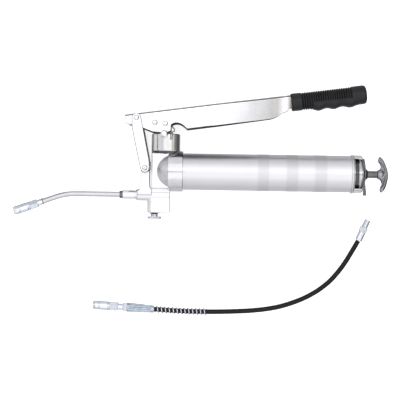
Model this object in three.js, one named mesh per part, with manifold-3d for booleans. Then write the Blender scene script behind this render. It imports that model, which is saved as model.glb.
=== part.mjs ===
// Lever grease gun, lying on its side on the bench, with its spare flexible hose beside it.
// Millimetres. In the gun's own frame X runs along the barrel towards the T-handle, Y runs from the
// barrel towards the lever, and Z is up from the bench. The gun frame starts where the barrel axis
// crosses the pump column's axis; the exported group shifts it so that the gun stands on Z = 0.
import * as THREE from "three";
import { mergeVertices } from "three/addons/utils/BufferGeometryUtils.js";
import Module from "manifold-3d";

const wasm = await Module();
wasm.setup();

// ---------- driving dimensions ----------
const GAP = 0.3; // between pieces that touch
const BOX_CENTRE = { x: 55.05, y: 32.46 }; // middle of the gun's outline in the gun frame

const COLLAR_RADIUS = 31.5; // the widest round of the gun, which it lies on
const COLLAR = { x0: 4.4, x1: 27.5 };
const DOME = { radius: 31.2, x: 12.8 };
const SOCKET = { radius: 28.9, floor: 8 };

const BARREL = { radius: 28.5, wall: 1.6, x0: 12, x1: 289.8 };
const RIM = { radius: 30.3, x1: 292.6 };
const CAP = { radius: 29.7, x0: 292.9, x1: 308 };

const COLUMN = { radius: 22.4, top: 58, base: 31.5 };
const BLOCK = { x0: -21.5, x1: 10, half: 18.2, top: 27.2, bottom: -27 };
const OUTLET = { y: -37.2, radius: 9.2, x0: -43.7, x1: 7.5 };
const FOOT = { x0: -27.3, bottom: -65.2, half: 8 };

const PUMP_BORE = 5.05;
const PLUNGER_RADIUS = 4.75;

// Pivots of the lever linkage, seen along Z
const LINK_FOOT = { x: -31.2, y: 4.3 };
const LINK_HEAD = { x: -45.4, y: 81.6 };
const PLUNGER_PIN = { x: -1.9, y: 57.2 };
const PIN_RADIUS = 3.5;
const PIN_HOLE = PIN_RADIUS + GAP;

const LEVER_HALF = 25; // half the width over the lever's two sides
const LEVER_SHEET = 2.2;
const LINK_SHEET = 2.7;
const LINK_INNER = LEVER_HALF + GAP;
const LINK_OUTER = LINK_INNER + LINK_SHEET;
const PIN_END = 31.3; // outer face of a link pin's head

const GRIP = { x: 195, y: 110.6, tilt: 7.2, length: 118.5, radius: 14.6 };
const SHANK = { x1: 104, half: 8, low: -9.5, high: 9.5 }; // the lever's tongue, in the grip's frame

const ROD = { radius: 5.5, x0: 40.5, x1: 331 };
const TANG = { radius: 3.6, x1: 339 }; // the rod's end, inside the T-handle
const HANDLE_TURN = -24; // how far the T-handle is turned about its rod, degrees

const BLEEDER = { x: -16.4, stem: 5.4, knob: 10.7 };

const PIPE = { radius: 4.2, bore: 2.2, bendX: -155.5, tilt: 19.7 }; // it bends once, by the tilt
const PIPE_SLOPE = Math.tan(THREE.MathUtils.degToRad(PIPE.tilt));
const COUPLER = { x: -191.5, radius: 6.9, socket: 7 };

// The spare hose lies on the bench, so its fittings' axes are a hexagon's radius above it.
const BENCH = -COLLAR_RADIUS;
const HOSE = { radius: 3.8, guard: 5.6 };
const HOSE_HEAD = { x: -15.3, y: -218.1, tilt: -3.2 }; // where the hose meets its coupler's ferrule
const HOSE_TAIL = { x: 306.5, y: -104.4, tilt: 66 }; // where it meets its threaded end
const FITTING_Z = BENCH + 8;
const HOSE_LOW = BENCH + HOSE.radius + 0.2;
const HOSE_ROUTE = [
  [-15, -218.1, FITTING_Z],
  [2.4, -219.2, FITTING_Z],
  [21.6, -220.2, FITTING_Z - 0.5],
  [45.9, -220.9, FITTING_Z - 1.2],
  [70.2, -221.1, BENCH + HOSE.guard + 0.2],
  [90.4, -220.8, HOSE_LOW + 0.6],
  [110.7, -220, HOSE_LOW],
  [135, -218.6, HOSE_LOW],
  [159.3, -215.9, HOSE_LOW],
  [181.6, -211.7, HOSE_LOW],
  [202.8, -205.2, HOSE_LOW],
  [224.1, -196.3, HOSE_LOW],
  [244.3, -184.5, HOSE_LOW],
  [261.6, -170.6, HOSE_LOW],
  [275.7, -154.8, HOSE_LOW + 0.2],
  [287.3, -138.2, HOSE_LOW + 1.2],
  [297, -121.4, HOSE_LOW + 2.8],
  [306.4, -104.6, FITTING_Z],
];

// ---------- materials ----------
const metal = (color, roughness) =>
  new THREE.MeshStandardMaterial({ color, roughness, metalness: 1 });
const rubberLike = (color) =>
  new THREE.MeshStandardMaterial({ color, roughness: 0.7, metalness: 0 });
const CAST = metal(0xd9d9de, 0.35);
const SATIN = metal(0xd4d4da, 0.42);
const CHROME = metal(0xe8e8ea, 0.1);
const ZINC = metal(0xb9c4cc, 0.28);
const STEEL = metal(0x9a9a9e, 0.3);
const RUBBER = rubberLike(0x1b1b1e);
const SEAL = rubberLike(0x2a2320);

// ---------- solids ----------
// A closed geometry as a manifold-3d solid, turned right side out if its faces point inwards.
function solid(geometry) {
  const bare = geometry.index ? geometry.toNonIndexed() : geometry.clone();
  for (const name of Object.keys(bare.attributes)) {
    if (name !== "position") bare.deleteAttribute(name);
  }
  const merged = mergeVertices(bare, 1e-4);
  const build = (index) =>
    new wasm.Manifold(
      new wasm.Mesh({
        numProp: 3,
        vertProperties: merged.attributes.position.array,
        triVerts: index,
      }),
    );
  const triangles = new Uint32Array(merged.index.array);
  const made = build(triangles);
  if (made.volume() > 0) return made;
  for (let i = 0; i < triangles.length; i += 3) {
    [triangles[i + 1], triangles[i + 2]] = [triangles[i + 2], triangles[i + 1]];
  }
  return build(triangles);
}

const join = (...parts) => parts.reduce((a, b) => a.add(b));
const cut = (body, ...tools) => tools.reduce((a, b) => a.subtract(b), body);

const AXIS_TURN = {
  x: new THREE.Matrix4().makeRotationZ(-Math.PI / 2),
  y: new THREE.Matrix4(),
  z: new THREE.Matrix4().makeRotationX(Math.PI / 2),
};

// A body of revolution: the profile lists [radius, place along the axis] and closes on itself.
function turned(axis, profile, sides = 20, at = [0, 0, 0]) {
  const points = profile.map(([r, h]) => new THREE.Vector2(r, h));
  if (profile[0][0] > 0 || profile.at(-1)[0] > 0) points.push(points[0].clone());
  const shape = new THREE.LatheGeometry(points, sides);
  shape.applyMatrix4(AXIS_TURN[axis]).translate(...at);
  return solid(shape);
}

const rod = (axis, r, from, to, sides = 16, at = [0, 0, 0]) =>
  turned(axis, [[0, from], [r, from], [r, to], [0, to]], sides, at);

const ring = (axis, outer, inner, from, to, sides = 20, at = [0, 0, 0]) =>
  turned(axis, [[inner, from], [outer, from], [outer, to], [inner, to]], sides, at);

function box(x0, x1, y0, y1, z0, z1) {
  const shape = new THREE.BoxGeometry(x1 - x0, y1 - y0, z1 - z0);
  shape.translate((x0 + x1) / 2, (y0 + y1) / 2, (z0 + z1) / 2);
  return solid(shape);
}

// A hexagonal bar along X with two of its flats level.
function hexBar(acrossFlats, from, to) {
  const cornerRadius = acrossFlats / Math.sqrt(3);
  const shape = new THREE.CylinderGeometry(cornerRadius, cornerRadius, to - from, 6);
  shape.rotateZ(Math.PI / 2).translate((from + to) / 2, 0, 0);
  return solid(shape);
}

const shapeOf = (points) => new THREE.Shape(points.map(([x, y]) => new THREE.Vector2(x, y)));

// An outline in the XY plane, or a Shape, made solid between two heights.
function plate(outline, z0, z1, curveSegments = 10) {
  const shape = outline instanceof THREE.Shape ? outline : shapeOf(outline);
  const options = { depth: z1 - z0, bevelEnabled: false, curveSegments };
  const made = new THREE.ExtrudeGeometry(shape, options);
  made.translate(0, 0, z0);
  return solid(made);
}

// The same outline as two equal plates, one each side of the middle plane.
const pair = (outline, inner, outer) =>
  [plate(outline, inner, outer), plate(outline, -outer, -inner)];

// A round bar of a few sides that follows a smooth curve through the points.
function wire(points, radius, sides, steps) {
  const curve = new THREE.CatmullRomCurve3(points.map((p) => new THREE.Vector3(...p)));
  const section = new THREE.Shape();
  for (let i = 0; i < sides; i++) {
    const a = (i / sides) * 2 * Math.PI;
    const p = [radius * Math.cos(a), radius * Math.sin(a)];
    if (i) section.lineTo(...p);
    else section.moveTo(...p);
  }
  const options = { steps, extrudePath: curve, bevelEnabled: false };
  return solid(new THREE.ExtrudeGeometry(section, options));
}

// A compression spring along X. A conical one ends at another radius.
function coil(radius, wireRadius, turns, from, to, endRadius = radius) {
  const sides = 4;
  const perTurn = 9;
  const points = [];
  const count = Math.round(turns * perTurn);
  for (let i = 0; i <= count; i++) {
    const a = (i / perTurn) * 2 * Math.PI;
    const x = from + wireRadius + ((to - from - 2 * wireRadius) * i) / count;
    const r = radius + ((endRadius - radius) * i) / count;
    points.push([x, r * Math.cos(a), r * Math.sin(a)]);
  }
  return wire(points, wireRadius, sides, count);
}

function geometryOf(manifold) {
  const mesh = manifold.getMesh();
  const positions = new Float32Array(mesh.numVert * 3);
  for (let i = 0; i < mesh.numVert; i++) {
    for (let k = 0; k < 3; k++) positions[i * 3 + k] = mesh.vertProperties[i * mesh.numProp + k];
  }
  const made = new THREE.BufferGeometry();
  made.setAttribute("position", new THREE.BufferAttribute(positions, 3));
  made.setIndex(new THREE.BufferAttribute(new Uint32Array(mesh.triVerts), 1));
  made.computeVertexNormals();
  return made;
}

const gun = new THREE.Group();
gun.position.set(-BOX_CENTRE.x, -BOX_CENTRE.y, COLLAR_RADIUS);

function addPart(name, manifold, material, group = gun) {
  const mesh = new THREE.Mesh(geometryOf(manifold), material);
  mesh.name = name;
  group.add(mesh);
}

// A nested frame that starts at a point of the gun frame and is turned about Z.
function frameAt(x, y, z, tiltDegrees) {
  const group = new THREE.Group();
  group.position.set(x, y, z);
  group.rotation.z = THREE.MathUtils.degToRad(tiltDegrees);
  gun.add(group);
  return group;
}

// ---------- pump head ----------
// Points of an arc, used inside turned profiles.
function arc(radius, centreAlong, fromDegrees, toDegrees, steps) {
  return Array.from({ length: steps + 1 }, (_, i) => {
    const a = THREE.MathUtils.degToRad(fromDegrees + ((toDegrees - fromDegrees) * i) / steps);
    return [Math.max(0, radius * Math.sin(a)), centreAlong - radius * Math.cos(a)];
  });
}

function pumpHead() {
  const domeEnd = THREE.MathUtils.radToDeg(Math.acos((DOME.x - COLLAR.x0) / DOME.radius));
  const socketHousing = turned(
    "x",
    [
      ...arc(DOME.radius, DOME.x, 0, domeEnd, 6),
      [COLLAR_RADIUS, COLLAR.x0],
      [COLLAR_RADIUS, COLLAR.x1],
      [0, COLLAR.x1],
    ],
    36,
  );
  const block = plate(
    [
      [BLOCK.x0, BLOCK.bottom],
      [BLOCK.x1, BLOCK.bottom],
      [BLOCK.x1, BLOCK.top + 2],
      [BLOCK.x0, BLOCK.top + 2],
    ],
    -BLOCK.half,
    BLOCK.half,
  );
  // The column flares from the block's flat sides out to its own round.
  const column = turned(
    "y",
    [
      [0, BLOCK.top - 1],
      [BLOCK.half, BLOCK.top - 1],
      [BLOCK.half + 0.4, BLOCK.top],
      [COLUMN.radius + 0.6, COLUMN.base],
      [COLUMN.radius, COLUMN.top - 1],
      [COLUMN.radius - 1, COLUMN.top],
      [0, COLUMN.top],
    ],
    28,
  );
  const ledge = box(BLOCK.x0, COLLAR.x1 - 1, BLOCK.top - 3, COLUMN.base, -BLOCK.half + 4, BLOCK.half - 4);
  const outlet = rod("x", OUTLET.radius, OUTLET.x0, OUTLET.x1, 28, [0, OUTLET.y, 0]);
  const neck = box(BLOCK.x0, OUTLET.x1, OUTLET.y, BLOCK.bottom + 2, -FOOT.half, FOOT.half);
  const foot = plate(
    [
      [FOOT.x0, FOOT.bottom + 1.5],
      [FOOT.x0 + 1.5, FOOT.bottom],
      [OUTLET.x1 - 1, FOOT.bottom],
      [OUTLET.x1, FOOT.bottom + 1],
      [OUTLET.x1, OUTLET.y],
      [FOOT.x0, OUTLET.y],
    ],
    -FOOT.half,
    FOOT.half,
  );
  const arm = new THREE.Shape();
  arm.moveTo(-43, OUTLET.y);
  arm.lineTo(-43, -31.5);
  arm.quadraticCurveTo(-38.2, -28.5, -37.9, -21);
  arm.lineTo(LINK_FOOT.x - 6.9, LINK_FOOT.y);
  arm.absarc(LINK_FOOT.x, LINK_FOOT.y, 6.9, Math.PI, 0, true);
  arm.lineTo(-23.9, -22);
  arm.quadraticCurveTo(-23.6, -27, -21, -28.6);
  arm.lineTo(-21, OUTLET.y);
  arm.closePath();
  const lug = plate(arm, -12, 12);
  const lugBoss = rod("z", 6.9, -LEVER_HALF, LEVER_HALF, 24, [LINK_FOOT.x, LINK_FOOT.y, 0]);

  const body = join(socketHousing, block, column, ledge, outlet, neck, foot, lug, lugBoss);
  return cut(
    body,
    rod("x", SOCKET.radius, SOCKET.floor, COLLAR.x1 + 1, 36),
    rod("x", 2.6, -3, SOCKET.floor + 1, 10, [0, 5, 0]), // grease inlet
    rod("y", PUMP_BORE, -20, 40),
    rod("y", 8.4, 36, 43), // seal pocket
    rod("y", 11.9, 42, COLUMN.top + 1), // gland pocket
    rod("y", 13.4, 48.6, COLUMN.top + 1, 20), // room for the plunger's eye
    box(PLUNGER_PIN.x - 4.6, PLUNGER_PIN.x + 4.6, 52.4, COLUMN.top + 1, -24, 24), // pin saddle
    rod("y", 2.4, OUTLET.y, -19, 10),
    rod("x", 2.4, -13, 0.5, 10, [0, OUTLET.y, 0]),
    rod("x", 5.3, OUTLET.x0 - 1, -12, 16, [0, OUTLET.y, 0]), // check valve chamber
    rod("y", 4.3, FOOT.bottom - 1, -50, 14, [BLEEDER.x, 0, 0]),
    rod("y", 1.3, -51, OUTLET.y, 8, [BLEEDER.x, 0, 0]),
    rod("z", PIN_HOLE, -LEVER_HALF - 1, LEVER_HALF + 1, 16, [LINK_FOOT.x, LINK_FOOT.y, 0]),
  );
}

addPart("pump_head", pumpHead(), CAST);
const SEAL_LIP = [[PUMP_BORE, 36.3], [8, 36.3], [8, 41.7], [6.6, 41.7], [6.2, 39], [PUMP_BORE, 39.4]];
addPart("plunger_seal", turned("y", SEAL_LIP), SEAL);
addPart("gland_nut", cut(rod("y", 11.1, 42.3, 48.2, 6), rod("y", PUMP_BORE, 42, 49)), STEEL);
const GASKET = ring("x", 28.6, 24.5, SOCKET.floor + GAP, BARREL.x0 - GAP, 28);
addPart("barrel_gasket", GASKET, SEAL);

// ---------- plunger ----------
// Its eye is a slot along X, because the pin swings a little either side of the column's axis.
function plunger() {
  const eye = new THREE.Shape();
  const [halfWidth, low, high, round] = [9.4, 49.4, 64.6, 4];
  eye.moveTo(-halfWidth + round, low);
  eye.lineTo(halfWidth - round, low);
  eye.absarc(halfWidth - round, low + round, round, -Math.PI / 2, 0, false);
  eye.absarc(halfWidth - round, high - round, round, 0, Math.PI / 2, false);
  eye.absarc(-halfWidth + round, high - round, round, Math.PI / 2, Math.PI, false);
  eye.absarc(-halfWidth + round, low + round, round, Math.PI, 1.5 * Math.PI, false);
  const slotHalf = 2;
  const slotRadius = PIN_RADIUS + 0.55;
  const slotY = PLUNGER_PIN.y - 0.25;
  const slot = new THREE.Shape();
  slot.absarc(slotHalf, slotY, slotRadius, -Math.PI / 2, Math.PI / 2, false);
  slot.absarc(-slotHalf, slotY, slotRadius, Math.PI / 2, 1.5 * Math.PI, false);
  return cut(
    join(rod("y", PLUNGER_RADIUS, -17, 51, 20), plate(eye, -8, 8, 4)),
    plate(slot, -9, 9, 8),
  );
}
addPart("plunger", plunger(), STEEL);

// ---------- lever ----------
const LEVER_END = 193; // its sides and back stop here, and only the shank goes into the grip
const LEVER_TOP = (x) => 95.3 + 0.1372 * x; // the straight back of the lever
function leverSide() {
  const side = new THREE.Shape();
  side.moveTo(-63.9, LEVER_TOP(-63.9));
  side.lineTo(-61, 71.6);
  side.lineTo(-52, 70.6);
  side.lineTo(-36, 66.2);
  side.lineTo(-20, 60.2);
  side.lineTo(PLUNGER_PIN.x - 5.6, 59.4);
  side.absarc(PLUNGER_PIN.x, PLUNGER_PIN.y, 5.7, Math.PI * 0.88, Math.PI * 2.15, false);
  side.lineTo(8.2, 62.6);
  side.lineTo(8.2, 71);
  side.bezierCurveTo(14, 76, 24, 73.5, 32.8, 65.5);
  side.lineTo(161, 83.6);
  side.quadraticCurveTo(172, 85.5, 182, 93.6);
  side.lineTo(LEVER_END, 98.6);
  side.lineTo(LEVER_END, LEVER_TOP(LEVER_END) - 1);
  side.closePath();
  return side;
}

// Seen from above, the lever keeps its full width past the pump and then tapers to the grip.
function leverPlan(half) {
  const narrow = 11.5 - (LEVER_HALF - half);
  const outline = [
    [-70, -half],
    [40, -half],
    [185, -narrow],
    [199, -narrow],
    [199, narrow],
    [185, narrow],
    [40, half],
    [-70, half],
  ];
  const made = new THREE.ExtrudeGeometry(shapeOf(outline), { depth: 120, bevelEnabled: false });
  made.rotateX(-Math.PI / 2).translate(0, 20, 0);
  return solid(made);
}

function lever() {
  const outer = plate(leverSide(), -LEVER_HALF, LEVER_HALF, 8).intersect(leverPlan(LEVER_HALF));
  const hollow = [
    [-70, 20],
    [186, 20],
    [186, LEVER_TOP(186) - LEVER_SHEET],
    [-70, LEVER_TOP(-70) - LEVER_SHEET],
  ];
  const room = plate(hollow, -LEVER_HALF, LEVER_HALF).intersect(leverPlan(LEVER_HALF - LEVER_SHEET));
  const turn = new THREE.Matrix4()
    .makeTranslation(GRIP.x, GRIP.y, 0)
    .multiply(new THREE.Matrix4().makeRotationZ(THREE.MathUtils.degToRad(GRIP.tilt)));
  const shankShape = new THREE.BoxGeometry(SHANK.x1 + 6, SHANK.high - SHANK.low, 2 * SHANK.half);
  shankShape.translate((SHANK.x1 - 6) / 2, (SHANK.high + SHANK.low) / 2, 0).applyMatrix4(turn);
  const through = (x, y, r) => rod("z", r, -40, 40, 16, [x, y, 0]);
  return cut(
    join(cut(outer, room), solid(shankShape)),
    through(LINK_HEAD.x, LINK_HEAD.y, PIN_HOLE),
    through(PLUNGER_PIN.x, PLUNGER_PIN.y, PIN_HOLE),
    ...RIVETS.map(([x, y]) => through(x, y, RIVET_RADIUS + GAP)),
  );
}

const RIVET_RADIUS = 2.6;
const RIVETS = [
  [-16.9, 74.4],
  [-0.9, 73.1],
];
const LEVER_INNER = LEVER_HALF - LEVER_SHEET;
addPart("lever", lever(), CHROME);

// The stiffening bracket inside the lever, held by the two rivets.
function leverBracket() {
  const outline = [
    [-25, 66],
    [6, 66],
    [6, 84],
    [-25, 84],
  ];
  const [inner, outer] = [LEVER_INNER - GAP - 2.2, LEVER_INNER - GAP];
  const web = box(-25, 6, 81.8, 84, -outer, outer);
  const holes = RIVETS.map(([x, y]) => rod("z", RIVET_RADIUS + GAP, -30, 30, 16, [x, y, 0]));
  return cut(join(...pair(outline, inner, outer), web), ...holes);
}
addPart("lever_bracket", leverBracket(), STEEL);

// A headed pin along Z: a shank, and a domed head at each end.
function headedPin(x, y, shank, headRadius, under, top) {
  const half = [
    [shank, under],
    [headRadius, under],
    [headRadius, (under + top) / 2],
    [headRadius * 0.6, top],
    [0, top],
  ];
  const mirrored = half.map(([r, h]) => [r, -h]).reverse();
  return turned("z", [...mirrored, ...half], 14, [x, y, 0]);
}

RIVETS.forEach(([x, y], i) => {
  const name = ["lever_rivet_front", "lever_rivet_rear"][i];
  addPart(name, headedPin(x, y, RIVET_RADIUS, 4.4, LEVER_HALF + GAP, LEVER_HALF + 2.2), CHROME);
});
addPart(
  "plunger_pin",
  headedPin(PLUNGER_PIN.x, PLUNGER_PIN.y, PIN_RADIUS, 5.8, LEVER_HALF + GAP, LEVER_HALF + 4),
  CHROME,
);

// The wire clip that hangs in the lever's notch.
const CLIP_Z = LEVER_HALF - LEVER_SHEET - 3.4;
addPart(
  "lever_clip",
  wire(
    [
      [10.5, 73.4, CLIP_Z - 3],
      [10.4, 71.2, CLIP_Z + 1],
      [10.6, 68, CLIP_Z + 2.2],
      [13.4, 64.8, CLIP_Z + 4],
      [13.2, 61.6, CLIP_Z + 4.4],
      [10.8, 60.4, CLIP_Z + 4.6],
      [10.4, 56, CLIP_Z + 4.6],
      [9.6, 48.5, CLIP_Z + 4.6],
    ],
    0.9,
    6,
    20,
  ),
  STEEL,
);

// ---------- link ----------
function linkSide() {
  const side = new THREE.Shape();
  side.absarc(LINK_FOOT.x, LINK_FOOT.y, 7.1, Math.PI * 1.06, Math.PI * 2.06, false);
  side.lineTo(-24.3, 13.5);
  side.lineTo(LINK_HEAD.x + 7.3, LINK_HEAD.y + 1);
  side.absarc(LINK_HEAD.x, LINK_HEAD.y, 7.2, 0.1, Math.PI * 0.95, false);
  side.lineTo(-52.1, 66.5);
  side.lineTo(-44.8, 32.1);
  side.closePath();
  const hole = (p) => {
    const path = new THREE.Path();
    path.absarc(p.x, p.y, PIN_HOLE, 0, 2 * Math.PI, true);
    side.holes.push(path);
  };
  hole(LINK_FOOT);
  hole(LINK_HEAD);
  return side;
}
addPart("link_plate_left", plate(linkSide(), LINK_INNER, LINK_OUTER, 10), CHROME);
addPart("link_plate_right", plate(linkSide(), -LINK_OUTER, -LINK_INNER, 10), CHROME);
for (const [name, at] of [["link_pin_lower", LINK_FOOT], ["link_pin_upper", LINK_HEAD]]) {
  addPart(name, headedPin(at.x, at.y, PIN_RADIUS, 4.3, LINK_OUTER + GAP, PIN_END), CHROME);
}

// ---------- grip ----------
const gripFrame = frameAt(GRIP.x, GRIP.y, 0, GRIP.tilt);
function grip() {
  const profile = [
    [0, 0],
    [13.6, 0],
    [14, 1],
    [14, 14],
    [13.2, 15.5],
    [13.4, 50],
    [13.9, 92],
    [14.6, 94],
    [14.9, 112],
    [14.2, 116],
    [11.5, 118],
    [0, GRIP.length],
  ];
  const bumps = [42, 66, 91].map((x) => {
    const swell = turned("x", arc(6.5, x, 0, 180, 6), 12);
    return solid(geometryOf(swell).scale(1, 0.55, 1.3).translate(0, -11.4, 0));
  });
  const side = SHANK.half + GAP;
  const pocket = box(-1, SHANK.x1 + GAP, SHANK.low - GAP, SHANK.high + GAP, -side, side);
  return cut(join(turned("x", profile, 24), ...bumps), pocket);
}
addPart("grip", grip(), RUBBER, gripFrame);

// ---------- barrel and end cap ----------
const BARREL_BORE = BARREL.radius - BARREL.wall;
function barrel() {
  const outline = [
    [BARREL_BORE, BARREL.x0],
    [BARREL.radius, BARREL.x0],
    [BARREL.radius, BARREL.x1],
    [RIM.radius - 0.5, BARREL.x1],
    [RIM.radius, BARREL.x1 + 0.8],
    [RIM.radius, RIM.x1 - 0.6],
    [RIM.radius - 0.6, RIM.x1],
    [BARREL_BORE, RIM.x1],
  ];
  return turned("x", outline, 36);
}
addPart("barrel", barrel(), SATIN);

// The cap's skirt has a waist, bridged by a full-width lug above and below.
function endCap() {
  const outer = [
    [ROD.radius + 0.5, CAP.x0 + 2.6],
    [22.4, CAP.x0 + 2.6],
    [22.4, CAP.x0 - 2],
    [24.8, CAP.x0 - 4],
    [24.8, CAP.x0 - 6],
    [BARREL_BORE - GAP, CAP.x0 - 6],
    [BARREL_BORE - GAP, CAP.x0],
    [CAP.radius, CAP.x0],
    [CAP.radius, CAP.x0 + 1],
    [24.4, CAP.x0 + 1.8],
    [24.4, CAP.x0 + 6],
    [25.6, CAP.x0 + 7],
    [25.6, CAP.x1 - 2.4],
    [23.6, CAP.x1],
    [ROD.radius + 0.5, CAP.x1],
  ];
  const lugOutline = [
    [23, CAP.x0 + 3],
    [23, CAP.x0 + 0.5],
    [CAP.radius, CAP.x0 + 0.5],
    [CAP.radius, CAP.x1 - 2.4],
    [28, CAP.x1 - 1],
    [23, CAP.x1 - 1],
  ];
  const waist = box(CAP.x0 - 1, CAP.x1 + 1, -22.7, 22.7, -40, 40);
  const lugs = cut(turned("x", lugOutline, 30), waist);
  return join(turned("x", outer, 30), lugs);
}
addPart("end_cap", endCap(), CHROME);

// ---------- follower, its spring, the pull rod and the rod latch ----------
const ROD_HOLE = 4.4; // the follower's hole for the rod's nose
const CUP = [
  [ROD_HOLE, 34.6],
  [22, 34.6],
  [26.5, 31.5],
  [26.5, 41.5],
  [25.6, 44],
  [24, 44],
  [24, 38],
  [ROD_HOLE, 38],
];
addPart("follower_cup", turned("x", CUP, 28), RUBBER);
addPart("follower_plate", ring("x", 23.6, ROD_HOLE, 38 + GAP, 40.2, 24), STEEL);
addPart("follower_spring", coil(20.5, 1.1, 11, 41, CAP.x0 + 2.2), STEEL);
addPart("follower_nut", cut(rod("x", 9, 30.6, 34.3, 6), rod("x", ROD_HOLE, 30, 35)), STEEL);

// The rod's thin nose passes through the follower and turns in it.
const ROD_PROFILE = [
  [0, 29],
  [3.9, 29],
  [ROD_HOLE - 0.35, 29.6],
  [ROD_HOLE - 0.35, ROD.x0],
  [ROD.radius, ROD.x0 + 0.4],
  [ROD.radius, ROD.x1],
  [TANG.radius, ROD.x1],
  [TANG.radius, TANG.x1],
  [0, TANG.x1],
];
addPart("pull_rod", turned("x", ROD_PROFILE, 20), CHROME);
const BUMPER_BORE = ROD.radius + GAP;
const BUMPER = [[BUMPER_BORE, 313.4], [8.5, 313.4], [6.6, 316], [BUMPER_BORE, 316]];
addPart("rod_bumper", turned("x", BUMPER), RUBBER);

const handleFrame = new THREE.Group();
handleFrame.rotation.x = THREE.MathUtils.degToRad(HANDLE_TURN);
gun.add(handleFrame);
function tHandle() {
  const side = new THREE.Shape();
  side.moveTo(332, -6);
  side.quadraticCurveTo(337.2, -8, 337.6, -15);
  side.quadraticCurveTo(337.2, -18.5, 334.4, -22.4);
  side.quadraticCurveTo(333, -29.4, 337.4, -30.2);
  side.quadraticCurveTo(345, -21, 348.4, -4);
  side.lineTo(348.4, 4);
  side.quadraticCurveTo(345, 21, 337.4, 30.2);
  side.quadraticCurveTo(333, 29.4, 334.4, 22.4);
  side.quadraticCurveTo(337.2, 18.5, 337.6, 15);
  side.quadraticCurveTo(337.2, 8, 332, 6);
  side.closePath();
  const [depth, chamfer] = [5, 1.6];
  const wing = new THREE.ExtrudeGeometry(side, {
    depth,
    bevelThickness: 3.2,
    bevelSize: chamfer,
    bevelOffset: -chamfer,
    bevelSegments: 1,
    curveSegments: 4,
  });
  wing.translate(0, 0, -depth / 2);
  const start = ROD.x1 + GAP;
  const hub = turned("x", [[0, start], [6.4, start], [7.6, 333.5], [7.4, 338], [4, 343], [0, 343]]);
  return cut(join(solid(wing), hub), rod("x", TANG.radius + GAP, 320, TANG.x1 + GAP, 20));
}
addPart("t_handle", tHandle(), CAST, handleFrame);

// The latch is a bowed steel strip. The rod passes through it, and its free end is the thumb tab.
function latchPlate() {
  const side = new THREE.Shape();
  side.moveTo(308.4, 24);
  side.quadraticCurveTo(312.4, 4, 309.5, -13);
  side.lineTo(310.8, -31);
  side.lineTo(310.8, -33.4);
  side.lineTo(313.4, -33.4);
  side.lineTo(313.2, -28);
  side.lineTo(311.2, -13);
  side.quadraticCurveTo(314.4, 4, 309.6, 24.8);
  side.closePath();
  return cut(
    plate(side, -11, 11, 8),
    rod("x", ROD.radius + 0.9, 300, 320, 20),
  );
}
addPart("latch_plate", latchPlate(), ZINC);
addPart("latch_spring", coil(7.2, 0.5, 1.5, CAP.x1 + GAP, CAP.x1 + 1.9, 9.8), STEEL);

// ---------- outlet: check valve, adapter, rigid pipe ----------
const outletFrame = frameAt(0, OUTLET.y, 0, 0);
addPart("outlet_ball", turned("x", arc(4, -15.4, 0, 180, 8), 14), STEEL, outletFrame);
addPart("outlet_spring", coil(3.6, 0.45, 4, -30.6, -19.7), STEEL, outletFrame);
addPart(
  "outlet_adapter",
  cut(
    join(
      rod("x", 4.9, -44, -31),
      ring("x", 8.2, 2, -45.6, -44),
      turned("x", [[0, -66], [6.2, -66], [6.8, -64.6], [6.8, -45.4], [0, -45.4]]),
    ),
    rod("x", 2.3, -70, -30, 12),
    rod("x", PIPE.radius + GAP, -70, -56),
  ),
  CHROME,
  outletFrame,
);
addPart("pipe_ring", ring("x", 6, PIPE.radius + GAP, -71, -66.4), STEEL, outletFrame);

// The pipe's centre line: straight, one bend of about 20 degrees, straight.
const drop = (x) => (x - PIPE.bendX) * PIPE_SLOPE;
function bentPipe(radius, sides, longer) {
  const start = -56.4 + longer;
  const end = COUPLER.x - 0.8 * COUPLER.socket - longer;
  const line = [
    [start, 0, 0],
    [-80, 0, 0],
    [-120, 0, 0],
    [PIPE.bendX + 14, 0, 0],
    [PIPE.bendX + 7, -0.3, 0],
    [PIPE.bendX, -1.25, 0],
    [PIPE.bendX - 7, drop(PIPE.bendX - 7) - 0.3, 0],
    [PIPE.bendX - 14, drop(PIPE.bendX - 14), 0],
    [end, drop(end), 0],
  ];
  return wire(line, radius, sides, 22);
}
const PIPE_BODY = cut(bentPipe(PIPE.radius, 12, 0), bentPipe(PIPE.bore, 6, 1));
addPart("rigid_pipe", PIPE_BODY, CHROME, outletFrame);

// ---------- grease coupler: the same piece on the pipe and on the hose ----------
// Its frame has X pointing away from the mouth; the socket for the pipe or hose starts at X = 0.
function coupler(prefix, group, plugRadius) {
  const r = COUPLER.radius;
  addPart(
    prefix + "_body",
    cut(
      join(
        hexBar(13.2, -20.7, -8.4),
        rod("x", 5.4, -31, 0, 20),
      ),
      rod("x", plugRadius + GAP, -COUPLER.socket, 1),
      rod("x", 2, -32, -6, 10),
    ),
    ZINC,
    group,
  );
  addPart(
    prefix + "_sleeve",
    turned(
      "x",
      [
        [5.7, -21],
        [r, -21],
        [r, -44],
        [5.9, -47.6],
        [4.1, -47.6],
        [4.1, -46],
        [5.7, -43.5],
      ],
      20,
    ),
    ZINC,
    group,
  );
  const collet = turned("x", [[3.6, -44.6], [4.2, -44.6], [5.2, -42.6], [5.2, -31.4], [3.6, -31.4]], 16);
  const slits = [box(-47, -36, -6, 6, -0.5, 0.5), box(-47, -36, -0.5, 0.5, -6, 6)];
  addPart(prefix + "_jaws", cut(collet, ...slits), STEEL, group);
  addPart(prefix + "_seal", ring("x", 3.2, 1.4, -37, -31.4, 12), SEAL, group);
}

const couplerFrame = frameAt(COUPLER.x, OUTLET.y + drop(COUPLER.x), 0, PIPE.tilt);
coupler("pipe_coupler", couplerFrame, PIPE.radius);

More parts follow.
